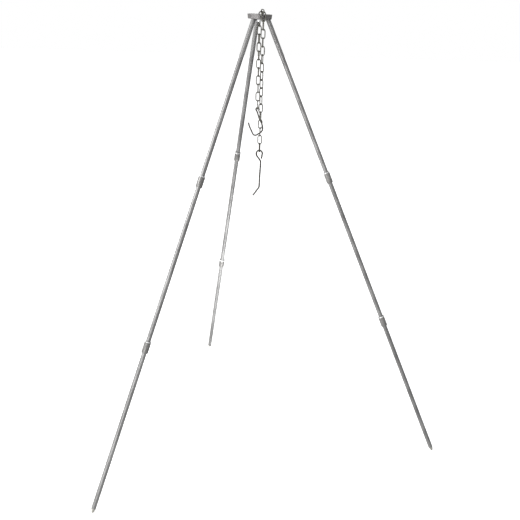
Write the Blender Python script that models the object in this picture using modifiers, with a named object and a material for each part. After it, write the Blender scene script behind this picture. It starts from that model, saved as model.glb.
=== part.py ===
"""Cauldron stand: three plug-together legs hinged in a slotted hub, with a chain and two wire hooks.

Lengths are in metres, +Z is up and the feet stand on Z = 0. The origin is under the middle of the
box round the three feet. The back leg points along +Y, and the chain goes down through the hub's
hole and hangs over the hub's edge on the -Y side.
"""

import math

import bmesh
import bpy
from mathutils import Matrix, Vector

# Legs
LEG_AZIMUTHS = {"left": 210.0, "right": -30.0, "back": 90.0}
LEG_SPREAD = math.radians(24.1)
FOLDED_SPREAD = math.radians(3.0)
SECTION_LENGTH = 0.356
SECTIONS = ("upper", "middle", "lower")
ROD_RADIUS = 0.00475
ROD_END_CHAMFER = 0.0004
HEAD_RISE = 0.0028
FOOT_POINT_LENGTH = 0.008
FOOT_TIP_RADIUS = 0.0015
FOOT_TRIM = 0.001
SLEEVE_LENGTH = 0.0245
SLEEVE_RADIUS = 0.0069
SLEEVE_DROP = 0.005
SLEEVE_CHAMFER = 0.0006

# Hub, pins and bush
HUB_TOP_RADIUS = 0.0258
HUB_BOTTOM_RADIUS = 0.0246
HUB_THICKNESS = 0.010
HUB_EDGE = 0.0006
HINGE_CIRCLE_RADIUS = 0.0155
PIN_RADIUS = 0.0015
PIN_LENGTH = 0.022
CHAIN_HOLE_RADIUS = 0.0069
MOUTH_RADIUS = 0.0095
MOUTH_DEPTH = 0.0075
BUSH_WALL = 0.0014
BUSH_FLANGE_THICKNESS = 0.005
BUSH_EDGE = 0.0008

# Chain
LINK_WIRE_RADIUS = 0.0011
LINK_PITCH = 0.0172
LINK_WIDTH = 0.01035
LINK_END_LENGTH = 0.0055
FRONT_LINKS = 15
LOWER_LINKS = 2
REAR_LINKS = 11
FRONT_TWIST = math.radians(-7.5)
REAR_TWIST = math.radians(-1.8)
FRONT_FOOT = (0.0035, -0.012)
REAR_FOOT = (-0.0003, -0.002)
HOLE_LINK_Y = 0.0014
SADDLE_END_ANGLE = math.radians(40.0)

# Wire hooks, whose paths are (across, up) from the middle of the bar that they hang on
ADJUSTER_WIRE_RADIUS = 0.0016
POT_WIRE_RADIUS = 0.0018
HOOK_FACING = math.radians(-16.2)
ADJUSTER_TILT = math.radians(9.5)
ADJUSTER_EYE_RADIUS = 0.0033
ADJUSTER_EYE_ENDS = (math.radians(-50.0), math.radians(200.0))
ADJUSTER_PATH = (
    (-0.0002, -0.0068),
    (0.0046, -0.0204),
    (0.0096, -0.0300),
    (0.0122, -0.0406),
    (0.0102, -0.0470),
    (0.0064, -0.0506),
    (0.0023, -0.0532),
    (-0.0003, -0.0550),
    (-0.0033, -0.0560),
    (-0.0060, -0.0556),
    (-0.0083, -0.0540),
    (-0.0124, -0.0460),
    (-0.0170, -0.0360),
    (-0.0188, -0.0297),
)
POT_EYE_RADIUS = 0.00655
POT_EYE_ENDS = (math.radians(-15.0), math.radians(195.0))
POT_FREE_END = (0.0047, -0.0143)
POT_PATH = (
    (-0.0055, -0.0085),
    (0.0007, -0.0168),
    (0.0029, -0.0208),
    (0.0031, -0.0284),
    (0.0019, -0.0568),
    (0.0013, -0.0773),
    (-0.0016, -0.0833),
    (-0.0117, -0.0980),
)

# Clearances and facets
GAP = 0.0003
PIN_GAP = 0.0003
SLOT_GAP = 0.0003
PLUG_GAP = 0.0003
ROD_SIDES = 20
TURNED_SIDES = 40
PIN_SIDES = 12
LINK_ARC_STEPS = 6
WIRE_RESOLUTION = 2

# Sizes that follow from those above
LEG_LENGTH = SECTION_LENGTH * len(SECTIONS)
HINGE_HEIGHT = LEG_LENGTH * math.cos(LEG_SPREAD)
FOOT_CIRCLE_RADIUS = HINGE_CIRCLE_RADIUS + LEG_LENGTH * math.sin(LEG_SPREAD)
AXIS_Y = -FOOT_CIRCLE_RADIUS / 4
HUB_CENTRE = Vector((0.0, AXIS_Y, HINGE_HEIGHT))
HUB_TOP = HUB_THICKNESS / 2
SLOT_WIDTH = 2 * (ROD_RADIUS + SLOT_GAP)
HEAD_CORNER = ROD_RADIUS * math.cos(LEG_SPREAD) + HEAD_RISE * math.sin(LEG_SPREAD)
SLOT_END_RADIUS = HINGE_CIRCLE_RADIUS - HEAD_CORNER - GAP
LEG_RUN_OUT = HUB_TOP * math.tan(LEG_SPREAD) + ROD_RADIUS / math.cos(LEG_SPREAD)
SLOT_RIM_RADIUS = HINGE_CIRCLE_RADIUS + LEG_RUN_OUT + GAP
BUSH_STEM_RADIUS = CHAIN_HOLE_RADIUS + BUSH_WALL
BUSH_BASE = HUB_TOP + GAP + BUSH_FLANGE_THICKNESS
FOLDED_LEG_INSIDE = BUSH_BASE * math.tan(FOLDED_SPREAD) - ROD_RADIUS / math.cos(FOLDED_SPREAD)
BUSH_FLANGE_RADIUS = HINGE_CIRCLE_RADIUS + FOLDED_LEG_INSIDE - GAP
BAR_SPACING = 2 * LINK_WIRE_RADIUS + GAP
LINK_REACH = (LINK_PITCH + BAR_SPACING) / 2
LINK_HALF_WIDTH = LINK_WIDTH / 2 - LINK_WIRE_RADIUS
ADJUSTER_SPACING = LINK_WIRE_RADIUS + ADJUSTER_WIRE_RADIUS + GAP
POT_SPACING = LINK_WIRE_RADIUS + POT_WIRE_RADIUS + GAP
HUB_WIDEST_RADIUS = max(HUB_TOP_RADIUS, HUB_BOTTOM_RADIUS)

STEEL = (0.42, 0.42, 0.43)
PALE_STEEL = (0.55, 0.55, 0.56)
CHAIN_STEEL = (0.30, 0.30, 0.29)


def clear_scene():
    for item in list(bpy.data.objects):
        bpy.data.objects.remove(item, do_unlink=True)


def new_collection(name):
    made = bpy.data.collections.new(name)
    bpy.context.scene.collection.children.link(made)
    return made


def metal(name, colour, roughness):
    made = bpy.data.materials.new(name)
    made.use_nodes = True
    shader = made.node_tree.nodes["Principled BSDF"]
    shader.inputs["Base Color"].default_value = (*colour, 1.0)
    shader.inputs["Metallic"].default_value = 1.0
    shader.inputs["Roughness"].default_value = roughness
    return made


def add_object(name, data, collection, parent=None, matrix=None):
    """A new object whose matrix is given in its parent's frame."""
    made = bpy.data.objects.new(name, data)
    collection.objects.link(made)
    made.parent = parent
    made.matrix_local = matrix or Matrix.Identity(4)
    return made


def finish(part, colour, roughness=0.35):
    part.data.materials.clear()
    part.data.materials.append(metal(part.name + "_metal", colour, roughness))
    return part


def turned(name, profile, sides, collection, parent=None, matrix=None, ring=False):
    """A profile of (radius, height) points, from the top down its outer side, turned about Z."""
    mesh = bpy.data.meshes.new(name)
    edges = [(n, n + 1) for n in range(len(profile) - 1)]
    if ring:
        edges.append((len(profile) - 1, 0))
    mesh.from_pydata([(radius, 0.0, height) for radius, height in profile], edges, [])
    made = add_object(name, mesh, collection, parent, matrix)
    screw = made.modifiers.new("turn", "SCREW")
    screw.axis = "Z"
    screw.steps = sides
    screw.render_steps = sides
    screw.use_merge_vertices = True
    screw.merge_threshold = 0.00001
    screw.use_smooth_shade = True
    return made


def wire(name, points, radius, collection, parent=None, matrix=None, closed=False):
    """A round wire along the points."""
    curve = bpy.data.curves.new(name, "CURVE")
    curve.dimensions = "3D"
    curve.bevel_depth = radius
    curve.bevel_resolution = WIRE_RESOLUTION
    curve.use_fill_caps = True
    spline = curve.splines.new("POLY")
    spline.points.add(len(points) - 1)
    for spot, point in zip(spline.points, points):
        spot.co = (*point, 1.0)
    spline.use_cyclic_u = closed
    return add_object(name, curve, collection, parent, matrix)


def cut(part, cutter):
    boolean = part.modifiers.new("cut_" + cutter.name, "BOOLEAN")
    boolean.operation = "DIFFERENCE"
    boolean.solver = "EXACT"
    boolean.object = cutter


def hide_cutter(cutter):
    cutter.hide_render = True
    cutter.display_type = "WIRE"
    return cutter


def box_cutter(name, low, high, collection, matrix=None):
    """A box between two corners, in the frame of the matrix."""
    mesh = bpy.data.meshes.new(name)
    made = bmesh.new()
    bmesh.ops.create_cube(made, size=1.0)
    size = Vector(high) - Vector(low)
    middle = (Vector(high) + Vector(low)) / 2
    bmesh.ops.scale(made, vec=size, verts=made.verts)
    bmesh.ops.translate(made, vec=middle, verts=made.verts)
    made.to_mesh(mesh)
    made.free()
    return hide_cutter(add_object(name, mesh, collection, None, matrix))


def rod_mesh(name, radius, length, sides):
    """A plain cylinder along Y, centred on the origin."""
    mesh = bpy.data.meshes.new(name)
    made = bmesh.new()
    bmesh.ops.create_cone(
        made, cap_ends=True, segments=sides, radius1=radius, radius2=radius, depth=length
    )
    bmesh.ops.rotate(made, matrix=Matrix.Rotation(math.pi / 2, 3, "X"), verts=made.verts)
    made.to_mesh(mesh)
    made.free()
    return mesh


def empty(name, collection, parent=None, matrix=None):
    return add_object(name, None, collection, parent, matrix)


def hinge_matrix(azimuth, spread):
    """The frame of a leg's hinge: X points outward, Y along the pin, and -Z down the leg."""
    turn = Matrix.Rotation(azimuth, 4, "Z")
    place = Matrix.Translation(Vector((HINGE_CIRCLE_RADIUS, 0.0, 0.0)))
    return Matrix.Translation(HUB_CENTRE) @ turn @ place @ Matrix.Rotation(-spread, 4, "Y")


def arc(centre, radius, start, end, steps):
    """Points on a circle in the XZ plane, from one angle to another."""
    angles = [start + (end - start) * n / steps for n in range(steps + 1)]
    return [
        (centre[0] + radius * math.cos(angle), 0.0, centre[1] + radius * math.sin(angle))
        for angle in angles
    ]


def frame_matrix(origin, up, across):
    """A frame at the origin whose Z is up and whose X is across, made square to Z."""
    z = Vector(up).normalized()
    x = (Vector(across) - z * z.dot(Vector(across))).normalized()
    y = z.cross(x)
    turn = Matrix((x, y, z)).transposed().to_4x4()
    return Matrix.Translation(Vector(origin)) @ turn


def hub_profile():
    top, bottom = HUB_TOP, -HUB_TOP
    shoulder = top - MOUTH_DEPTH
    seat = BUSH_STEM_RADIUS + GAP
    slope = (HUB_TOP_RADIUS - HUB_BOTTOM_RADIUS) / HUB_THICKNESS
    return [
        (MOUTH_RADIUS, top),
        (HUB_TOP_RADIUS - HUB_EDGE, top),
        (HUB_TOP_RADIUS, top - HUB_EDGE),
        (HUB_BOTTOM_RADIUS + slope * HUB_EDGE, bottom + HUB_EDGE),
        (HUB_BOTTOM_RADIUS - HUB_EDGE, bottom),
        (seat, bottom),
        (seat, shoulder),
        (CHAIN_HOLE_RADIUS, shoulder),
    ]


def bush_profile():
    stem_top = HUB_TOP - MOUTH_DEPTH - GAP
    flange_top = -HUB_TOP - GAP
    flange_bottom = flange_top - BUSH_FLANGE_THICKNESS
    return [
        (CHAIN_HOLE_RADIUS, stem_top),
        (BUSH_STEM_RADIUS, stem_top),
        (BUSH_STEM_RADIUS, flange_top),
        (BUSH_FLANGE_RADIUS, flange_top),
        (BUSH_FLANGE_RADIUS, flange_bottom + BUSH_EDGE),
        (BUSH_FLANGE_RADIUS - BUSH_EDGE, flange_bottom),
        (CHAIN_HOLE_RADIUS + BUSH_EDGE, flange_bottom),
        (CHAIN_HOLE_RADIUS, flange_bottom + BUSH_EDGE),
    ]


def build_hub(parts, cutters):
    centre = Matrix.Translation(HUB_CENTRE)
    hub = turned("hub", hub_profile(), TURNED_SIDES, parts, None, centre, ring=True)
    finish(hub, STEEL)
    bush = turned("chain_bush", bush_profile(), TURNED_SIDES, parts, None, centre, ring=True)
    finish(bush, PALE_STEEL, 0.3)
    reach = HUB_WIDEST_RADIUS + HUB_THICKNESS
    bore = rod_mesh("pin_bore", PIN_RADIUS + PIN_GAP, 2 * reach, PIN_SIDES)
    for side, degrees in LEG_AZIMUTHS.items():
        azimuth = math.radians(degrees)
        low = (SLOT_END_RADIUS, -SLOT_WIDTH / 2, -HUB_THICKNESS)
        high = (SLOT_RIM_RADIUS, SLOT_WIDTH / 2, HUB_THICKNESS)
        turn = centre @ Matrix.Rotation(azimuth, 4, "Z")
        cut(hub, box_cutter(f"slot_{side}", low, high, cutters, turn))
        upright = hinge_matrix(azimuth, 0.0)
        cut(hub, hide_cutter(add_object(f"bore_{side}", bore, cutters, None, upright)))
        pin = rod_mesh(f"hinge_pin_{side}", PIN_RADIUS, PIN_LENGTH, PIN_SIDES)
        finish(add_object(f"hinge_pin_{side}", pin, parts, None, upright), PALE_STEEL)
    return hub


def rod_profile(top, bottom):
    edge = ROD_END_CHAMFER
    return [
        (0.0, top),
        (ROD_RADIUS - edge, top),
        (ROD_RADIUS, top - edge),
        (ROD_RADIUS, bottom + edge),
        (ROD_RADIUS - edge, bottom),
        (0.0, bottom),
    ]


def foot_profile(top, bottom):
    edge = ROD_END_CHAMFER
    return [
        (0.0, top),
        (ROD_RADIUS - edge, top),
        (ROD_RADIUS, top - edge),
        (ROD_RADIUS, bottom + FOOT_POINT_LENGTH),
        (FOOT_TIP_RADIUS, bottom - FOOT_TRIM),
        (0.0, bottom - FOOT_TRIM),
    ]


def sleeve_profile(joint):
    edge = SLEEVE_CHAMFER
    middle = joint - SLEEVE_DROP
    top = middle + SLEEVE_LENGTH / 2
    bottom = middle - SLEEVE_LENGTH / 2
    bore = ROD_RADIUS + PLUG_GAP
    return [
        (bore, top),
        (SLEEVE_RADIUS - edge, top),
        (SLEEVE_RADIUS, top - edge),
        (SLEEVE_RADIUS, bottom + edge),
        (SLEEVE_RADIUS - edge, bottom),
        (bore, bottom),
    ]


def build_leg(side, azimuth, parts, cutters, ground):
    """Three sections in a chain of empties, each on the axis that its section moves on."""
    hinge = empty(f"leg_{side}_hinge", parts, None, hinge_matrix(azimuth, LEG_SPREAD))
    bore = rod_mesh(f"head_bore_{side}", PIN_RADIUS + PIN_GAP, 4 * ROD_RADIUS, PIN_SIDES)
    head_bore = hide_cutter(add_object(f"head_bore_{side}", bore, cutters, hinge))
    down = Matrix.Translation(Vector((0.0, 0.0, -SECTION_LENGTH)))
    parent = hinge
    for number, section in enumerate(SECTIONS):
        name = f"leg_{side}_{section}_rod"
        last = number == len(SECTIONS) - 1
        top = -GAP / 2 if number else HEAD_RISE
        if last:
            rod = turned(name, foot_profile(top, -SECTION_LENGTH), ROD_SIDES, parts, parent)
            cut(rod, ground)
        else:
            profile = rod_profile(top, GAP / 2 - SECTION_LENGTH)
            rod = turned(name, profile, ROD_SIDES, parts, parent)
        finish(rod, STEEL)
        if not number:
            cut(rod, head_bore)
        if last:
            break
        profile = sleeve_profile(-SECTION_LENGTH)
        label = f"leg_{side}_{section}_sleeve"
        sleeve = turned(label, profile, ROD_SIDES, parts, parent, ring=True)
        finish(sleeve, PALE_STEEL)
        parent = empty(f"leg_{side}_{SECTIONS[number + 1]}_plug", parts, parent, down)


def link_points():
    """An oval link in the XZ plane, its long way along Z, with half ellipses for its ends."""
    side = LINK_REACH - LINK_END_LENGTH
    points = []
    for n in range(2 * LINK_ARC_STEPS + 2):
        top = n <= LINK_ARC_STEPS
        angle = math.pi * (n if top else n - 1) / LINK_ARC_STEPS
        up = (side if top else -side) + LINK_END_LENGTH * math.sin(angle)
        points.append((LINK_HALF_WIDTH * math.cos(angle), 0.0, up))
    return points


def add_link(name, centre, up, across, parts):
    place = frame_matrix(centre, up, across)
    made = wire(name, link_points(), LINK_WIRE_RADIUS, parts, None, place, closed=True)
    return finish(made, CHAIN_STEEL, 0.4)


def level(angle):
    return Vector((math.cos(angle), math.sin(angle), 0.0))


def strand_end(start, foot, number):
    """Where a strand of links that starts at one contact and ends over foot comes to."""
    length = LINK_PITCH * number
    across = Vector(foot) - Vector(start[:2])
    fall = math.sqrt(length**2 - across.length**2)
    end = Vector((*foot, start.z - fall))
    return end, (end - start) / length


def add_strand(label, first, start, down, number, spin, twist, parts):
    """Links from the contact at start downward, each a quarter turn and a twist on from the last."""
    for n in range(number):
        centre = start + down * LINK_PITCH * (n + 0.5)
        angle = spin + (twist + math.pi / 2) * n
        add_link(f"{label}_{n + first:02d}", centre, -down, level(angle), parts)


def saddle_places():
    """Centres of the two links over the hub and of those at the rim and in the hole."""
    saddle_end = HUB_WIDEST_RADIUS + LINK_WIRE_RADIUS + GAP + BAR_SPACING
    saddle_y = -saddle_end + LINK_REACH
    saddle_z = HUB_TOP + GAP + LINK_WIDTH / 2
    rim_y = -saddle_end + BAR_SPACING
    rim_z = saddle_z - LINK_REACH
    tip_radius = LINK_HALF_WIDTH**2 / LINK_END_LENGTH
    room = tip_radius - BAR_SPACING
    near_y = saddle_y + LINK_REACH - tip_radius + room * math.cos(SADDLE_END_ANGLE)
    near_z = saddle_z + room * math.sin(SADDLE_END_ANGLE)
    run = HOLE_LINK_Y - near_y
    fall = math.sqrt((2 * LINK_REACH) ** 2 - run**2)
    far_z = near_z - fall
    return {
        "saddle": Vector((0.0, saddle_y, saddle_z)),
        "rim": Vector((0.0, rim_y, rim_z)),
        "dive": Vector((0.0, near_y + run / 2, near_z - fall / 2)),
        "dive_up": Vector((0.0, -run, fall)),
        "hole": Vector((0.0, HOLE_LINK_Y, far_z + BAR_SPACING - LINK_REACH)),
    }


def build_top_links(parts):
    """The four links that lie on the hub, which the two strands hang from."""
    places = saddle_places()
    x, y, z = Vector((1, 0, 0)), Vector((0, 1, 0)), Vector((0, 0, 1))
    add_link("chain_link_saddle", HUB_CENTRE + places["saddle"], y, z, parts)
    add_link("chain_link_dive", HUB_CENTRE + places["dive"], places["dive_up"], x, parts)
    add_link("chain_link_rim", HUB_CENTRE + places["rim"], z, x, parts)
    add_link("chain_link_hole", HUB_CENTRE + places["hole"], z, y, parts)
    return places


def flat_path(points):
    return [(across, 0.0, up) for across, up in points]


def adjuster_points():
    """The J hook in the XZ plane, hung by its eye from a bar at the origin."""
    eye = (0.0, ADJUSTER_SPACING - ADJUSTER_EYE_RADIUS)
    return arc(eye, ADJUSTER_EYE_RADIUS, *ADJUSTER_EYE_ENDS, 9) + flat_path(ADJUSTER_PATH)


def pot_hook_points():
    """The pot hook in the XZ plane, hung by its open eye from a bar at the origin."""
    eye = (0.0, POT_SPACING - POT_EYE_RADIUS)
    ring = arc(eye, POT_EYE_RADIUS, *POT_EYE_ENDS, 9)
    return flat_path([POT_FREE_END]) + ring + flat_path(POT_PATH)


def add_hook(name, points, radius, bar, up, parts):
    place = frame_matrix(bar, up, level(HOOK_FACING))
    made = wire(name, points, radius, parts, None, place)
    return finish(made, CHAIN_STEEL, 0.4)


def build_chain(parts):
    places = build_top_links(parts)
    half = Vector((0.0, 0.0, -LINK_PITCH / 2))
    axis = Vector((0.0, AXIS_Y))
    bar = BAR_SPACING / 2

    rear_top = HUB_CENTRE + places["hole"] + half
    rear_count = REAR_LINKS - 1
    rear_foot = Vector(REAR_FOOT) + axis
    rear_end, rear_down = strand_end(rear_top, rear_foot, rear_count)
    add_strand("rear_link", 2, rear_top, rear_down, rear_count, 0.0, REAR_TWIST, parts)
    lean = level(HOOK_FACING + math.pi / 2) * math.sin(ADJUSTER_TILT)
    up = lean + Vector((0.0, 0.0, math.cos(ADJUSTER_TILT)))
    low_bar = rear_end + rear_down * bar
    add_hook("adjusting_hook", adjuster_points(), ADJUSTER_WIRE_RADIUS, low_bar, up, parts)

    front_top = HUB_CENTRE + places["rim"] + half
    front_count = FRONT_LINKS - 1
    front_foot = Vector(FRONT_FOOT) + axis
    front_end, front_down = strand_end(front_top, front_foot, front_count)
    spin = math.pi / 2 + FRONT_TWIST
    add_strand("front_link", 2, front_top, front_down, front_count, spin, FRONT_TWIST, parts)

    down = Vector((0.0, 0.0, -1.0))
    spin += FRONT_TWIST * front_count
    add_strand("front_link", FRONT_LINKS + 1, front_end, down, LOWER_LINKS, spin, FRONT_TWIST, parts)
    low_bar = front_end + down * (LOWER_LINKS * LINK_PITCH + bar)
    add_hook("pot_hook", pot_hook_points(), POT_WIRE_RADIUS, low_bar, -down, parts)


def main():
    clear_scene()
    parts = new_collection("cauldron_stand")
    cutters = new_collection("cutters")
    build_hub(parts, cutters)
    wide = 2 * FOOT_CIRCLE_RADIUS
    ground = box_cutter("ground", (-wide, -wide, -wide), (wide, wide, 0.0), cutters)
    for side, degrees in LEG_AZIMUTHS.items():
        build_leg(side, math.radians(degrees), parts, cutters, ground)
    build_chain(parts)


main()
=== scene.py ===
"""Cauldron stand: finer pieces and plated-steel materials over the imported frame, and the studio.

Lengths are in metres. The hub's middle is HUB; leg and link sizes repeat part.py's.
"""

import math

import bmesh
import bpy
from mathutils import Matrix, Vector


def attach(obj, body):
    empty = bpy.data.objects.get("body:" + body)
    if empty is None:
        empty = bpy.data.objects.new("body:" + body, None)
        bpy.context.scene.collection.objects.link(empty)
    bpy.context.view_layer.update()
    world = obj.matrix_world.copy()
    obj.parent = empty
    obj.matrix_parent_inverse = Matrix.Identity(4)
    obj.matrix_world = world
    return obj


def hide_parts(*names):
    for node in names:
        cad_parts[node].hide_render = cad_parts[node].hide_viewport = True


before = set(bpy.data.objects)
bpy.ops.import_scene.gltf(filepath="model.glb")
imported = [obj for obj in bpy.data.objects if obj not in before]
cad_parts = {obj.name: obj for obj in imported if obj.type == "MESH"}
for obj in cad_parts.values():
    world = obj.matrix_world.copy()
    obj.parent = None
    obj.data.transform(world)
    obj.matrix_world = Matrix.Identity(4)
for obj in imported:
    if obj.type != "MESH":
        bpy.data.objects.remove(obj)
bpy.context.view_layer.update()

# Legs
LEG_AZIMUTHS = {"left": 210.0, "right": -30.0, "back": 90.0}
SPREAD = math.radians(24.1)  # from upright
FOLDED = math.radians(3.0)
SECTION = 0.356
LEG = 3 * SECTION
ROD_R = 0.00475
ROD_EDGE = 0.0006
HEAD_RISE = 0.0028  # of a rod's head over its pin
FOOT_TAPER = 0.008
FOOT_NECK_R = 0.0032
FOOT_NECK = 0.0038  # height of the neck over the section's end
FOOT_TIP_R = 0.0015
FOOT_TRIM = 0.001  # run past the section's end, before the tip is cut off at the ground
SCUFF_TOP = 0.0095  # height of the foot's scuffed steel
SLEEVE_R = 0.0069
SLEEVE_LEN = 0.0245
SLEEVE_DROP = 0.005  # of a sleeve's middle below its joint
# Height of the band at a sleeve's top that is painted lighter, as a painted highlight ring
LIP_HIGHLIGHT_LEN = 0.0023
GAP = 0.0003  # left between pieces that touch

# Hub, bush and pins
HINGE_R = 0.0155
FOOT_R = HINGE_R + LEG * math.sin(SPREAD)
HUB = Vector((0.0, -FOOT_R / 4, LEG * math.cos(SPREAD)))  # over the middle of the feet's box
HUB_TOP_R = 0.0258
HUB_BASE_R = 0.0246
HUB_HALF = 0.005
HUB_EDGE = 0.0009
PIN_R = 0.0015
PIN_LEN = 0.022
HOLE_R = 0.0069
MOUTH_R = 0.0095
MOUTH_DEPTH = 0.0014
SHOULDER = -0.0025  # height of the bush's seat in the hub
BUSH_WALL = 0.0014
FLANGE = 0.005

# Chain and hooks
LINK_R = 0.0011
PITCH = 0.0172
LINK_W = 0.01035
LINK_END = 0.0055
BAR = 2 * LINK_R + GAP  # between the middles of two wires that meet
REACH = (PITCH + BAR) / 2
HALF_W = LINK_W / 2 - LINK_R
HOLE_LINK_Y = 0.0014  # of the link in the hole, from the hub's axis
DIVE_REST = math.radians(40.0)  # where the dive link sits round the saddle link's end
FRONT_FOOT = (0.0035, -0.012)  # where the front strand ends, from the hub's axis
REAR_FOOT = (-0.0003, -0.002)
FRONT_TWIST = math.radians(-7.5)
REAR_TWIST = math.radians(-1.8)
REAR_LINKS = 10
LOOP_LINKS = 14  # of the front strand, down to the adjusting hook
LOW_LINKS = 2
HOOK_R = 0.0016
HOOK_EYE_R = 0.0033
HOOK_FACING = math.radians(-16.2)
HOOK_TILT = math.radians(9.5)
POT_HOOK_R = 0.0018
POT_EYE_R = 0.00655

# The hooks' wires below their eyes, as (across, up) from the bar they hang on
HOOK_PATH = (
    (-0.0002, -0.0068), (0.0046, -0.0204), (0.0096, -0.0300), (0.0122, -0.0406),
    (0.0102, -0.0470), (0.0064, -0.0506), (0.0023, -0.0532), (-0.0003, -0.0550),
    (-0.0033, -0.0560), (-0.0060, -0.0556), (-0.0083, -0.0540), (-0.0124, -0.0460),
    (-0.0170, -0.0360), (-0.0188, -0.0297),
)
POT_EYE_END = (0.0047, -0.0143)
POT_PATH = (
    (-0.0055, -0.0085), (0.0007, -0.0168), (0.0029, -0.0208), (0.0031, -0.0284),
    (0.0019, -0.0568), (0.0013, -0.0773), (-0.0016, -0.0833), (-0.0117, -0.0980),
)

# The camera, fitted to the feet, sleeves, hub and chain in the photograph
CAMERA_AT = Vector((-0.4495, HUB.y - 1.5468, 1.0088))
CAMERA_AZIMUTH = math.radians(68.06)
CAMERA_PITCH = math.radians(17.75)
CAMERA_ROLL = math.radians(3.24)
CAMERA_LENS = 50.99
CAMERA_SHIFT = (-0.124, -0.040)

# Sides of the round meshes
ROD_SIDES = 64
HUB_SIDES = 128
BUSH_SIDES = 96
SLEEVE_SIDES = 80
PIN_SIDES = 32
WIRE_SIDES = 20
BORE_TURN = 0.04  # keeps a bore's facets off the rod's own edges


# Shapes
def in_scene(name, data):
    obj = bpy.data.objects.new(name, data)
    bpy.context.scene.collection.objects.link(obj)
    return obj


def finished_mesh(name, made):
    """The mesh of a bmesh, which is freed."""
    mesh = bpy.data.meshes.new(name)
    made.to_mesh(mesh)
    made.free()
    return mesh


def new_object(name, mesh, matrix=None, smooth_angle=35.0):
    """An object shaded smooth, except at edges sharper than the angle."""
    obj = in_scene(name, mesh)
    if matrix is not None:
        obj.matrix_world = matrix
    for face in mesh.polygons:
        face.use_smooth = True
    limit = math.radians(smooth_angle)
    marks = bmesh.new()
    marks.from_mesh(mesh)
    for edge in marks.edges:
        edge.smooth = len(edge.link_faces) != 2 or edge.calc_face_angle(0.0) < limit
    marks.to_mesh(mesh)
    marks.free()
    return obj


def lathe_mesh(name, profile, sides, ring=False, wobble=None):
    """A closed solid turned about Z from (radius, height) points, down its outside from the top.

    A ring's profile comes back up its inside to its first point.
    """
    made = bmesh.new()
    rows = []
    for radius, height in profile:
        if radius < 1e-6:
            rows.append([made.verts.new((0.0, 0.0, height))])
            continue
        row = []
        for n in range(sides):
            angle = 2 * math.pi * n / sides
            r = radius + (wobble(angle, height) if wobble else 0.0)
            row.append(made.verts.new((r * math.cos(angle), r * math.sin(angle), height)))
        rows.append(row)
    pairs = list(zip(rows, rows[1:]))
    if ring:
        pairs.append((rows[-1], rows[0]))
    for upper, lower in pairs:
        for n in range(sides):
            m = (n + 1) % sides
            if len(upper) == 1:
                made.faces.new((upper[0], lower[n], lower[m]))
            elif len(lower) == 1:
                made.faces.new((upper[n], lower[0], upper[m]))
            else:
                made.faces.new((upper[n], lower[n], lower[m], upper[m]))
    bmesh.ops.recalc_face_normals(made, faces=made.faces)
    return finished_mesh(name, made)


def fillet(corners, radius, steps=3):
    """The (r, z) corners with each inner one rounded, for a profile's soft edges."""
    out = [corners[0]]
    for before, here, after in zip(corners, corners[1:], corners[2:]):
        a, b, c = Vector(before), Vector(here), Vector(after)
        reach = min(radius, (a - b).length * 0.45, (c - b).length * 0.45)
        start = b + (a - b).normalized() * reach
        end = b + (c - b).normalized() * reach
        for n in range(steps + 1):
            t = n / steps
            out.append(tuple(start.lerp(b, t).lerp(b.lerp(end, t), t)))
    out.append(corners[-1])
    return out


def smooth_path(points, closed=False, steps=6):
    """A Catmull-Rom curve through the points."""
    count = len(points)
    out = []
    last = count if closed else count - 1
    for n in range(last):
        if closed:
            p = [points[(n + k - 1) % count] for k in range(4)]
        else:
            p = [points[min(max(n + k - 1, 0), count - 1)] for k in range(4)]
        for s in range(steps):
            t = s / steps
            spot = Vector((0.0, 0.0, 0.0))
            weights = (
                -0.5 * t**3 + t**2 - 0.5 * t,
                1.5 * t**3 - 2.5 * t**2 + 1,
                -1.5 * t**3 + 2 * t**2 + 0.5 * t,
                0.5 * t**3 - 0.5 * t**2,
            )
            for weight, point in zip(weights, p):
                spot += Vector(point) * weight
            out.append(spot)
    if not closed:
        out.append(Vector(points[-1]))
    return out


def wire_mesh(name, path, radius, closed=False, swell=None):
    """A round wire along a path in the XZ plane, with softly rounded cut ends."""
    made = bmesh.new()
    count = len(path)
    out = Vector((0.0, 1.0, 0.0))
    cut_end = ((0.30, 0.72), (0.16, 0.93))  # how far past the path, and how thick
    rows = []
    for n, spot in enumerate(path):
        if closed:
            along = (path[(n + 1) % count] - path[n - 1]).normalized()
        else:
            along = (path[min(n + 1, count - 1)] - path[max(n - 1, 0)]).normalized()
        side = along.cross(out).normalized()
        thick = radius * (swell(n / count) if swell else 1.0)
        rings = [(0.0, thick)]
        if not closed and n == 0:
            rings = [(-past * radius, part * thick) for past, part in cut_end] + rings
        if not closed and n == count - 1:
            rings += [(past * radius, part * thick) for past, part in reversed(cut_end)]
        for shift, size in rings:
            row = []
            for k in range(WIRE_SIDES):
                angle = 2 * math.pi * k / WIRE_SIDES
                reach = side * math.cos(angle) + out * math.sin(angle)
                row.append(made.verts.new(spot + along * shift + reach * size))
            rows.append(row)
    pairs = list(zip(rows, rows[1:]))
    if closed:
        pairs.append((rows[-1], rows[0]))
    for a, b in pairs:
        for k in range(WIRE_SIDES):
            m = (k + 1) % WIRE_SIDES
            made.faces.new((a[k], b[k], b[m], a[m]))
    if not closed:
        made.faces.new(rows[0])
        made.faces.new(rows[-1])
    bmesh.ops.recalc_face_normals(made, faces=made.faces)
    return finished_mesh(name, made)


def arc(centre, radius, start, end, steps=9):
    """Points in the XZ plane round the centre, from one angle in degrees to the other."""
    angles = [math.radians(start + (end - start) * n / steps) for n in range(steps + 1)]
    return [
        Vector((centre[0] + radius * math.cos(a), 0.0, centre[1] + radius * math.sin(a)))
        for a in angles
    ]


def in_plane(path):
    """The (x, z) points of a path as points in space."""
    return [Vector((x, 0.0, z)) for x, z in path]


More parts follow.
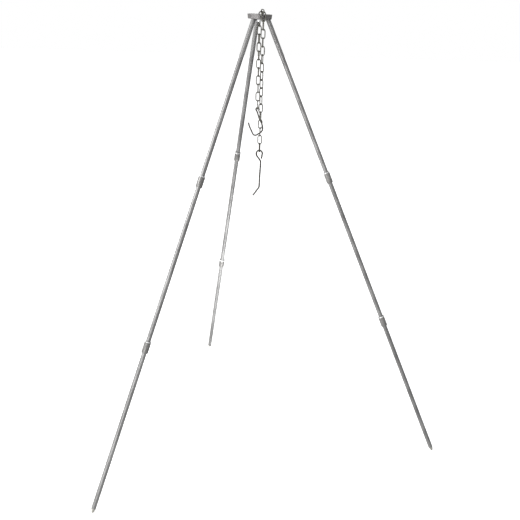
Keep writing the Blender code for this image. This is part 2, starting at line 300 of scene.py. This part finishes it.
def frame_matrix(origin, up, across):
    """Places a piece with its Z along up and its X as near to across as that allows."""
    z = Vector(up).normalized()
    x = (Vector(across) - z * z.dot(Vector(across))).normalized()
    y = z.cross(x)
    return Matrix.Translation(Vector(origin)) @ Matrix((x, y, z)).transposed().to_4x4()


def level(angle):
    """The level direction at an angle from X."""
    return Vector((math.cos(angle), math.sin(angle), 0.0))


# Materials
def math_node(tree, operation, a, b):
    node = tree.nodes.new("ShaderNodeMath")
    node.operation = operation
    for socket, value in zip(node.inputs, (a, b)):
        if isinstance(value, (int, float)):
            socket.default_value = value
        else:
            tree.links.new(value, socket)
    return node.outputs[0]


def noise(tree, place, scale, detail, stretch=(1.0, 1.0, 1.0), rough=0.55):
    mapping = tree.nodes.new("ShaderNodeMapping")
    mapping.inputs["Scale"].default_value = stretch
    tree.links.new(place, mapping.inputs["Vector"])
    node = tree.nodes.new("ShaderNodeTexNoise")
    node.inputs["Scale"].default_value = scale
    node.inputs["Detail"].default_value = detail
    node.inputs["Roughness"].default_value = rough
    tree.links.new(mapping.outputs[0], node.inputs["Vector"])
    return node.outputs["Fac"]


def ramp(tree, value, stops):
    node = tree.nodes.new("ShaderNodeValToRGB")
    elements = node.color_ramp.elements
    while len(elements) < len(stops):
        elements.new(0.5)
    for element, (where, colour) in zip(elements, stops):
        element.position = where
        element.color = (*colour, 1.0)
    tree.links.new(value, node.inputs["Fac"])
    return node.outputs["Color"]


def remap(tree, value, low, high, out_low, out_high):
    node = tree.nodes.new("ShaderNodeMapRange")
    node.inputs["From Min"].default_value = low
    node.inputs["From Max"].default_value = high
    node.inputs["To Min"].default_value = out_low
    node.inputs["To Max"].default_value = out_high
    tree.links.new(value, node.inputs["Value"])
    return node.outputs["Result"]


def steel(name, dark, light, worn, metallic, rough, streak, grain, scuffs=0.5):
    """Plated steel: cloudy plating, drawn streaks along Z, fine grain and dull scuffed patches.

    Streak and grain are the scales of their noise, and scuffs is how far the patches show.
    """
    material = bpy.data.materials.new(name)
    material.use_nodes = True
    tree = material.node_tree
    shader = tree.nodes["Principled BSDF"]
    place = tree.nodes.new("ShaderNodeTexCoord").outputs["Object"]
    clouds = noise(tree, place, 55.0, 4.0, (1.0, 1.0, 0.45))
    streaks = noise(tree, place, streak, 3.0, (1.0, 1.0, 0.02))
    pits = noise(tree, place, grain, 2.0)
    patches = noise(tree, place, 140.0, 5.0, (1.0, 1.0, 0.35), 0.65)
    plating = ramp(tree, clouds, ((0.30, dark), (0.68, light)))
    worn_mask = remap(tree, patches, 0.60, 0.72, 0.0, scuffs)
    mix = tree.nodes.new("ShaderNodeMix")
    mix.data_type = "RGBA"
    colour_in = [s for s in mix.inputs if s.type == "RGBA"]
    colour_in[1].default_value = (*worn, 1.0)
    tree.links.new(worn_mask, mix.inputs["Factor"])
    tree.links.new(plating, colour_in[0])
    colour_out = [s for s in mix.outputs if s.type == "RGBA"][0]
    tint = tree.nodes.new("ShaderNodeHueSaturation")
    tree.links.new(colour_out, tint.inputs["Color"])
    tree.links.new(remap(tree, streaks, 0.3, 0.7, 0.90, 1.08), tint.inputs["Value"])
    tree.links.new(tint.outputs["Color"], shader.inputs["Base Color"])
    shader.inputs["Metallic"].default_value = metallic
    shader.inputs["Specular Tint"].default_value = (0.12, 0.12, 0.12, 1.0)
    base = remap(tree, clouds, 0.3, 0.7, rough - 0.07, rough + 0.08)
    tree.links.new(math_node(tree, "ADD", base, math_node(tree, "MULTIPLY", worn_mask, 0.2)),
                   shader.inputs["Roughness"])
    height = math_node(tree, "ADD", math_node(tree, "MULTIPLY", streaks, 0.6), pits)
    bump = tree.nodes.new("ShaderNodeBump")
    bump.inputs["Strength"].default_value = 0.22
    bump.inputs["Distance"].default_value = 0.0002
    tree.links.new(height, bump.inputs["Height"])
    tree.links.new(bump.outputs["Normal"], shader.inputs["Normal"])
    return material


ROD_STEEL = steel(
    "rod_plated_steel", (0.152, 0.150, 0.149), (0.272, 0.270, 0.267), (0.08, 0.08, 0.08),
    metallic=0.40, rough=0.38, streak=900.0, grain=1500.0)
SLEEVE_STEEL = steel(
    "sleeve_plated_steel", (0.140, 0.137, 0.133), (0.250, 0.246, 0.240), (0.08, 0.08, 0.08),
    metallic=0.40, rough=0.36, streak=700.0, grain=1400.0)
# Painted highlight: the sleeve's lip is much lighter than its body. It paints the bright ring, over
# the light that the top chamfer itself catches.
LIP_HIGHLIGHT_STEEL = steel(
    "sleeve_lip_painted_highlight", (0.50, 0.50, 0.50), (0.66, 0.66, 0.66), (0.3, 0.3, 0.3),
    metallic=0.3, rough=0.30, streak=700.0, grain=1400.0)
FOOT_STEEL = steel(
    "foot_scuffed_steel", (0.29, 0.285, 0.258), (0.42, 0.413, 0.378), (0.09, 0.083, 0.075),
    metallic=0.35, rough=0.48, streak=600.0, grain=1500.0, scuffs=0.9)
HUB_STEEL = steel(
    "hub_plated_steel", (0.155, 0.149, 0.148), (0.246, 0.237, 0.235), (0.09, 0.09, 0.09),
    metallic=0.40, rough=0.52, streak=200.0, grain=1300.0)
BUSH_STEEL = steel(
    "bush_bright_steel", (0.66, 0.66, 0.66), (0.82, 0.82, 0.82), (0.45, 0.45, 0.45),
    metallic=0.3, rough=0.30, streak=300.0, grain=1300.0)
PIN_STEEL = steel(
    "pin_steel", (0.34, 0.34, 0.35), (0.46, 0.46, 0.47), (0.2, 0.2, 0.2),
    metallic=0.5, rough=0.35, streak=500.0, grain=1500.0)
CHAIN_STEEL = steel(
    "chain_plated_wire", (0.075, 0.073, 0.062), (0.15, 0.147, 0.131), (0.04, 0.04, 0.034),
    metallic=0.45, rough=0.40, streak=900.0, grain=2200.0)
HOOK_STEEL = steel(
    "hook_plated_wire", (0.050, 0.049, 0.043), (0.105, 0.103, 0.095), (0.03, 0.028, 0.025),
    metallic=0.45, rough=0.42, streak=900.0, grain=2000.0)


def stand_for(obj, node, body, material):
    """The object takes the CAD node's place on the body."""
    obj.data.materials.clear()
    obj.data.materials.append(material)
    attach(obj, body)
    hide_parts(node)


# Hub, bush and pins
def hinge_place(degrees):
    """From the hub's own place to a leg's hinge: X points outward."""
    turn = Matrix.Rotation(math.radians(degrees), 4, "Z")
    return turn @ Matrix.Translation((HINGE_R, 0, 0))


def pin_place(degrees):
    """The hinge's place with Z along its pin."""
    return hinge_place(degrees) @ Matrix.Rotation(math.pi / 2, 4, "X")


def pin_bore(name, reach):
    """A cutter for a pin's hole, along Z."""
    radius = PIN_R + GAP
    return lathe_mesh(name, [(0, reach), (radius, reach), (radius, -reach), (0, -reach)],
                      PIN_SIDES)


def cut_away(body, mesh):
    """Cuts the mesh out of the body; returns the cutter, which goes once the cut is applied."""
    cutter = in_scene(mesh.name, mesh)
    cut = body.modifiers.new("cut", "BOOLEAN")
    cut.operation = "DIFFERENCE"
    cut.solver = "EXACT"
    cut.object = cutter
    return cutter


def solid_from(body, cutters):
    """The body's mesh with its modifiers applied. The body and its cutters are removed."""
    bpy.context.view_layer.update()
    graph = bpy.context.evaluated_depsgraph_get()
    mesh = bpy.data.meshes.new_from_object(body.evaluated_get(graph))
    for obj in (body, *cutters):
        bpy.data.objects.remove(obj)
    return mesh


def slot_mesh(name, degrees):
    """A cutter for a leg's slot, as long as the leg's fold needs."""
    inner = HINGE_R - (ROD_R * math.cos(SPREAD) + HEAD_RISE * math.sin(SPREAD)) - GAP
    outer = HINGE_R + HUB_HALF * math.tan(SPREAD) + ROD_R / math.cos(SPREAD) + GAP
    turn = Matrix.Rotation(math.radians(degrees), 4, "Z")
    made = bmesh.new()
    bmesh.ops.create_cube(made, size=1.0)
    size = Vector((outer - inner, 2 * (ROD_R + GAP), 6 * HUB_HALF))
    bmesh.ops.scale(made, vec=size, verts=made.verts)
    bmesh.ops.translate(made, vec=((outer + inner) / 2, 0.0, 0.0), verts=made.verts)
    bmesh.ops.transform(made, matrix=turn, verts=made.verts)
    return finished_mesh(name, made)


def build_hub():
    seat = HOLE_R + BUSH_WALL + GAP
    corners = [(MOUTH_R + 0.0001, HUB_HALF), (HUB_TOP_R, HUB_HALF), (HUB_BASE_R, -HUB_HALF),
               (seat + 0.0008, -HUB_HALF)]
    profile = fillet(corners, HUB_EDGE, 4) + [
        (seat, -HUB_HALF), (seat, SHOULDER), (HOLE_R, SHOULDER),
        (MOUTH_R - 0.0004, HUB_HALF - MOUTH_DEPTH), (MOUTH_R, HUB_HALF - 0.0004),
    ]
    body = new_object("hub_body", lathe_mesh("hub_body", profile, HUB_SIDES, ring=True))
    cutters = []
    for side, degrees in LEG_AZIMUTHS.items():
        bore = pin_bore("bore_" + side, 0.03)
        bore.transform(pin_place(degrees))
        cutters += [cut_away(body, slot_mesh("slot_" + side, degrees)), cut_away(body, bore)]
    bevel = body.modifiers.new("edge", "BEVEL")
    bevel.width = 0.00028
    bevel.segments = 2
    bevel.limit_method = "ANGLE"
    bevel.angle_limit = math.radians(40)
    bevel.use_clamp_overlap = True
    hub = new_object("hub_disc", solid_from(body, cutters), Matrix.Translation(HUB))
    stand_for(hub, "hub", "hub_assembly", HUB_STEEL)


def build_bush():
    """A collar up into the hub, with a flange that the folded rods rest against."""
    stem = HOLE_R + BUSH_WALL
    top, seat = SHOULDER - GAP, -HUB_HALF - GAP
    base = seat - FLANGE
    flange_r = HINGE_R - base * math.tan(FOLDED) - ROD_R / math.cos(FOLDED) - GAP
    profile = fillet([(HOLE_R, top), (stem, top), (stem, seat), (flange_r, seat), (flange_r, base),
                      (HOLE_R, base), (HOLE_R, top - 0.001)], 0.0006)
    bush = new_object("bush_collar", lathe_mesh("bush_collar", profile, BUSH_SIDES, ring=True),
                      Matrix.Translation(HUB))
    stand_for(bush, "chain_bush", "hub_assembly", BUSH_STEEL)


def build_pins():
    half = PIN_LEN / 2
    profile = fillet([(0, half), (PIN_R, half), (PIN_R, -half), (0, -half)], 0.0003, 2)
    for side, degrees in LEG_AZIMUTHS.items():
        pin = new_object("pin_" + side, lathe_mesh("pin_" + side, profile, PIN_SIDES),
                         Matrix.Translation(HUB) @ pin_place(degrees))
        stand_for(pin, "hinge_pin_" + side, "hub_assembly", PIN_STEEL)


# Legs
def leg_marks(phase):
    """Slight unevenness of a drawn rod, well under a tenth of a millimetre."""
    def wobble(angle, height):
        return 0.00003 * math.sin(2 * angle + 40 * height + phase)
    return wobble


def rows_between(top, bottom, step=0.02):
    """Heights between the two, about a step apart, where a rod can be uneven."""
    count = max(2, round((top - bottom) / step))
    return [top + (bottom - top) * n / count for n in range(1, count)]


def rod_profile(top, bottom):
    """A plain rod with rounded ends."""
    edge = ROD_EDGE
    sides = [(ROD_R, z) for z in rows_between(top - edge, bottom + edge)]
    return [(0, top), (ROD_R - edge, top), (ROD_R - 0.15 * edge, top - 0.35 * edge),
            (ROD_R, top - edge), *sides, (ROD_R, bottom + edge),
            (ROD_R - 0.15 * edge, bottom + 0.35 * edge), (ROD_R - edge, bottom), (0, bottom)]


def foot_profile(top, bottom):
    """A rod that tapers to a blunt point."""
    edge = ROD_EDGE
    shoulder = bottom + FOOT_TAPER
    sides = [(ROD_R, z) for z in rows_between(top - edge, shoulder)]
    return [(0, top), (ROD_R - edge, top), (ROD_R, top - edge), *sides, (ROD_R, shoulder + 0.0008),
            (ROD_R - 0.00015, shoulder - 0.0002), (FOOT_NECK_R, bottom + FOOT_NECK),
            (FOOT_TIP_R, bottom - FOOT_TRIM), (0, bottom - FOOT_TRIM)]


def head_bored(name, mesh):
    """The rod's mesh with its pin hole cut through the head."""
    bore = pin_bore("head_bore", 0.02)
    bore.transform(Matrix.Rotation(math.pi / 2, 4, "X") @ Matrix.Rotation(BORE_TURN, 4, "Z"))
    body = new_object(name, mesh)
    return solid_from(body, [cut_away(body, bore)])


def foot_flat(rod, place):
    """The rod's mesh with its tip cut off level with the ground."""
    made = bmesh.new()
    made.from_mesh(rod)
    inside = place.inverted()
    plane = inside @ Vector((0.0, 0.0, 0.0))
    normal = inside.to_3x3() @ Vector((0.0, 0.0, -1.0))
    whole = made.verts[:] + made.edges[:] + made.faces[:]
    found = bmesh.ops.bisect_plane(made, geom=whole, plane_co=plane, plane_no=normal,
                                   clear_outer=True)
    rim = [item for item in found["geom_cut"] if isinstance(item, bmesh.types.BMEdge)]
    bmesh.ops.holes_fill(made, edges=rim, sides=0)
    bmesh.ops.recalc_face_normals(made, faces=made.faces)
    made.to_mesh(rod)
    made.free()
    return rod


def sleeve_profile():
    """A swaged sleeve: a rolled lip at its top and a turned chamfer at its foot."""
    half = SLEEVE_LEN / 2
    bore = ROD_R + GAP
    r = SLEEVE_R
    return [
        (bore + 0.0001, half), (r - 0.0007, half), (r - 0.0001, half - 0.0005),
        (r + 0.0001, half - 0.0012), (r, half - 0.0022), (r - 0.00035, half - 0.0026),
        (r - 0.00035, half - 0.0032), (r - 0.0001, half - 0.0035), (r - 0.0001, 0.0),
        (r - 0.0001, -half + 0.0010), (r - 0.0006, -half), (bore + 0.0001, -half),
        (bore, -half + 0.0003), (bore, half - 0.0003),
    ]


def second_steel(obj, material, chosen):
    """The faces chosen by the height of their middle take another steel."""
    obj.data.materials.append(material)
    for face in obj.data.polygons:
        face.material_index = int(chosen(face.center.z))


def build_leg(side, degrees, number):
    base = Matrix.Translation(HUB) @ hinge_place(degrees) @ Matrix.Rotation(-SPREAD, 4, "Y")
    marks = leg_marks(1.7 * number)
    for n, section in enumerate(("upper", "middle", "lower")):
        body = f"leg_{side}_{section}"
        head, foot = section == "upper", section == "lower"
        top = HEAD_RISE if head else -GAP / 2
        bottom = -SECTION if foot else -SECTION + GAP / 2
        place = base @ Matrix.Translation((0, 0, -SECTION * n))
        profile = foot_profile(top, bottom) if foot else rod_profile(top, bottom)
        name = f"{side}_{section}_tube"
        mesh = lathe_mesh(name, profile, ROD_SIDES, wobble=marks)
        if head:
            mesh = head_bored(name + "_raw", mesh)
        if foot:
            mesh = foot_flat(mesh, place)
        rod = new_object(name, mesh, place)
        stand_for(rod, f"leg_{side}_{section}_rod", body, ROD_STEEL)
        if foot:
            second_steel(rod, FOOT_STEEL, lambda z: z < SCUFF_TOP - SECTION)
            continue
        name = f"{side}_{section}_collar"
        sleeve = new_object(name, lathe_mesh(name, sleeve_profile(), SLEEVE_SIDES, ring=True),
                            place @ Matrix.Translation((0, 0, -SECTION - SLEEVE_DROP)))
        stand_for(sleeve, f"leg_{side}_{section}_sleeve", body, SLEEVE_STEEL)
        # The lip's faces take the lighter steel: a painted highlight ring, added to the light that
        # the chamfer really catches.
        second_steel(sleeve, LIP_HIGHLIGHT_STEEL, lambda z: z > SLEEVE_LEN / 2 - LIP_HIGHLIGHT_LEN)


# Chain and hooks
def link_mesh(name, weld_side):
    """A link with round ends and a butt weld half way down one side."""
    side = REACH - LINK_END
    steps = 18
    turn = [math.pi * n / steps for n in range(steps + 1)]
    over = [Vector((HALF_W * math.cos(a), 0, side + LINK_END * math.sin(a))) for a in turn]
    heights = [side * t for t in (0.6, 0.3, 0.1, -0.1, -0.3, -0.6)]
    down = [Vector((-HALF_W, 0, z)) for z in heights]
    path = over + down + [-p for p in over] + [-p for p in down]
    weld = next(n for n, p in enumerate(path) if p.x * weld_side > 0 and abs(p.z) < 0.11 * side)
    count = len(path)

    def swell(t):
        away = abs(t * count - weld - 0.5)
        return 1.0 + 0.13 * math.exp(-(away / 0.9) ** 2)

    return wire_mesh(name, path, LINK_R, closed=True, swell=swell)


def add_link(node, centre, up, across, body, weld_side=1):
    link = new_object("wire_" + node, link_mesh(node, weld_side),
                      frame_matrix(centre, up, across), smooth_angle=50)
    stand_for(link, node, body, CHAIN_STEEL)


def saddle_places():
    """The four top links from the hub's middle: the saddle link lies over the hub's top.

    Returns the middles of the saddle, rim and dive links, the dive link's upward line, and the
    middle of the link in the hole.
    """
    saddle_end = HUB_TOP_R + LINK_R + GAP + BAR
    saddle_y = -saddle_end + REACH
    saddle_z = HUB_HALF + GAP + LINK_W / 2
    tip = HALF_W**2 / LINK_END  # radius of the bend at a link's end
    room = tip - BAR  # of the dive link's wire, from the middle of that bend
    arc_y = saddle_y + REACH - tip
    near = Vector((0.0, arc_y + room * math.cos(DIVE_REST),
                   saddle_z + room * math.sin(DIVE_REST)))
    run = HOLE_LINK_Y - near.y
    fall = math.sqrt((2 * REACH) ** 2 - run**2)
    hole_z = near.z - fall + BAR - REACH
    return (
        Vector((0, saddle_y, saddle_z)),
        Vector((0, -saddle_end + BAR, saddle_z - REACH)),
        Vector((0, near.y + run / 2, near.z - fall / 2)),
        Vector((0, -run, fall)),
        Vector((0, HOLE_LINK_Y, hole_z)),
    )


def strand(label, first, top, foot, count, spin, twist, body_of):
    """Links that hang from top to the (x, y) of foot, each a quarter turn and the twist on.

    Returns the strand's end and its downward line.
    """
    length = PITCH * count
    across = Vector(foot) - Vector(top[:2])
    end = Vector((*foot, top.z - math.sqrt(length**2 - across.length**2)))
    down = (end - top) / length
    for n in range(count):
        node = f"{label}_{n + first:02d}"
        angle = spin + (twist + math.pi / 2) * n
        centre = top + down * PITCH * (n + 0.5)
        add_link(node, centre, -down, level(angle), body_of(n + first), 1 if n % 2 else -1)
    return end, down


def add_hook(name, node, body, points, radius, bar, up):
    """A hook of round wire that hangs on a link's bar."""
    mesh = wire_mesh(name, smooth_path(points), radius)
    hook = new_object(name, mesh, frame_matrix(bar, up, level(HOOK_FACING)), smooth_angle=50)
    stand_for(hook, node, body, HOOK_STEEL)


def build_chain():
    x, y, z = Vector((1, 0, 0)), Vector((0, 1, 0)), Vector((0, 0, 1))
    saddle, rim, dive, dive_up, hole = saddle_places()
    add_link("chain_link_saddle", HUB + saddle, y, z, "hub_assembly")
    add_link("chain_link_dive", HUB + dive, dive_up, x, "hub_assembly")
    add_link("chain_link_rim", HUB + rim, z, x, "hub_assembly", -1)
    add_link("chain_link_hole", HUB + hole, z, y, "hub_assembly")
    half = Vector((0, 0, -PITCH / 2))
    rear_foot, front_foot = (HUB.xy + Vector(foot) for foot in (REAR_FOOT, FRONT_FOOT))

    end, down = strand("rear_link", 2, HUB + hole + half, rear_foot, REAR_LINKS, 0.0,
                       REAR_TWIST, lambda n: "chain_loop")
    ring = arc((0.0, LINK_R + HOOK_R + GAP - HOOK_EYE_R), HOOK_EYE_R, -50, 200)
    up = level(HOOK_FACING + math.pi / 2) * math.sin(HOOK_TILT) + z * math.cos(HOOK_TILT)
    add_hook("adjusting_hook_wire", "adjusting_hook", "chain_loop", ring + in_plane(HOOK_PATH),
             HOOK_R, end + down * BAR / 2, up)

    spin = math.pi / 2 + FRONT_TWIST
    end, down = strand("front_link", 2, HUB + rim + half, front_foot, LOOP_LINKS, spin,
                       FRONT_TWIST, lambda n: "chain_loop")
    low, _ = strand("front_link", 2 + LOOP_LINKS, end, front_foot, LOW_LINKS,
                    spin + LOOP_LINKS * FRONT_TWIST, FRONT_TWIST, lambda n: f"chain_link_{n}")
    ring = arc((0.0, LINK_R + POT_HOOK_R + GAP - POT_EYE_R), POT_EYE_R, -15, 195)
    points = in_plane([POT_EYE_END]) + ring + in_plane(POT_PATH)
    add_hook("pot_hook_wire", "pot_hook", "pot_hook", points, POT_HOOK_R, low - z * BAR / 2, z)


build_hub()
build_bush()
build_pins()
for index, (leg, azimuth) in enumerate(LEG_AZIMUTHS.items()):
    build_leg(leg, azimuth, index)
build_chain()


# Studio
def light_path_mix(tree, shown, other, target):
    """Shown to the camera and in reflections, with the other shader lighting everything else."""
    path = tree.nodes.new("ShaderNodeLightPath")
    seen = math_node(tree, "MAXIMUM", path.outputs["Is Camera Ray"], path.outputs["Is Glossy Ray"])
    seen = math_node(tree, "MAXIMUM", seen, path.outputs["Is Transmission Ray"])
    mix = tree.nodes.new("ShaderNodeMixShader")
    tree.links.new(seen, mix.inputs[0])
    tree.links.new(other, mix.inputs[1])
    tree.links.new(shown, mix.inputs[2])
    tree.links.new(mix.outputs[0], target)


def build_world():
    world = bpy.data.worlds.new("studio")
    bpy.context.scene.world = world
    world.use_nodes = True
    tree = world.node_tree
    back = tree.nodes["Background"]
    back.inputs["Color"].default_value = (1, 1, 1, 1)
    back.inputs["Strength"].default_value = 1.0
    fill = tree.nodes.new("ShaderNodeBackground")
    fill.inputs["Color"].default_value = (0.97, 0.98, 1.0, 1)
    fill.inputs["Strength"].default_value = 0.22
    light_path_mix(tree, back.outputs[0], fill.outputs[0],
                   tree.nodes["World Output"].inputs["Surface"])


def build_floor():
    """A pale floor that keeps the shadow. To the camera it also glows, white far from the stand."""
    made = bmesh.new()
    bmesh.ops.create_grid(made, x_segments=1, y_segments=1, size=12.0)
    mesh = finished_mesh("studio_floor", made)
    floor = in_scene("studio_floor", mesh)
    material = bpy.data.materials.new("studio_floor")
    material.use_nodes = True
    tree = material.node_tree
    shader = tree.nodes["Principled BSDF"]
    shader.inputs["Base Color"].default_value = (0.93, 0.93, 0.93, 1)
    shader.inputs["Roughness"].default_value = 0.9
    shader.inputs["Specular IOR Level"].default_value = 0.1
    glow = tree.nodes.new("ShaderNodeEmission")
    place = tree.nodes.new("ShaderNodeTexCoord").outputs["Object"]
    away = tree.nodes.new("ShaderNodeVectorMath")
    away.operation = "LENGTH"
    tree.links.new(place, away.inputs[0])
    tree.links.new(remap(tree, away.outputs["Value"], 0.9, 4.0, 0.60, 1.05),
                   glow.inputs["Strength"])
    path = tree.nodes.new("ShaderNodeLightPath")
    black = tree.nodes.new("ShaderNodeEmission")
    black.inputs["Strength"].default_value = 0.0
    pick = tree.nodes.new("ShaderNodeMixShader")
    tree.links.new(path.outputs["Is Camera Ray"], pick.inputs[0])
    tree.links.new(black.outputs[0], pick.inputs[1])
    tree.links.new(glow.outputs[0], pick.inputs[2])
    add = tree.nodes.new("ShaderNodeAddShader")
    tree.links.new(shader.outputs[0], add.inputs[0])
    tree.links.new(pick.outputs[0], add.inputs[1])
    tree.links.new(add.outputs[0], tree.nodes["Material Output"].inputs["Surface"])
    mesh.materials.append(material)


def area_lamp(name, place, aim, size, power, shine=0.4, length=None):
    """A round lamp, or a strip when it has a length."""
    data = bpy.data.lights.new(name, "AREA")
    data.specular_factor = shine
    data.shape = "RECTANGLE" if length else "DISK"
    data.size = size
    if length:
        data.size_y = length
    data.energy = power
    lamp = in_scene(name, data)
    lamp.location = place
    lamp.rotation_euler = (Vector(aim) - Vector(place)).to_track_quat("-Z", "Y").to_euler()


def build_camera():
    data = bpy.data.cameras.new("camera")
    data.lens = CAMERA_LENS
    data.sensor_width = 36.0
    data.shift_x, data.shift_y = CAMERA_SHIFT
    camera = in_scene("camera", data)
    ahead, right = level(CAMERA_AZIMUTH), level(CAMERA_AZIMUTH - math.pi / 2)
    z = Vector((0, 0, 1))
    forward = ahead * math.cos(CAMERA_PITCH) - z * math.sin(CAMERA_PITCH)
    up = ahead * math.sin(CAMERA_PITCH) + z * math.cos(CAMERA_PITCH)
    side = right * math.cos(CAMERA_ROLL) + up * math.sin(CAMERA_ROLL)
    top = up * math.cos(CAMERA_ROLL) - right * math.sin(CAMERA_ROLL)
    turn = Matrix((side, top, -forward)).transposed().to_4x4()
    camera.matrix_world = Matrix.Translation(CAMERA_AT) @ turn
    bpy.context.scene.camera = camera


build_world()
build_floor()
area_lamp("key", (-2.9, -0.7, 2.0), (0, 0, 0.5), size=1.4, power=112, shine=0.14)
area_lamp("fill", (1.6, -2.6, 1.8), (0, 0, 0.5), size=1.8, power=5)
area_lamp("low", (-1.9, -2.0, 0.5), (0, 0.2, 0.5), size=1.0, power=30, shine=0.3)
area_lamp("back", (0.6, 2.6, 2.6), (0, 0, 0.6), size=1.6, power=38)
area_lamp("back_leg", (0, 0.06, 0.2), (0, 0.33, 0.31), size=0.08, power=1.1, shine=0.0,
          length=0.44)
build_camera()
bpy.context.scene.view_settings.view_transform = "Standard"
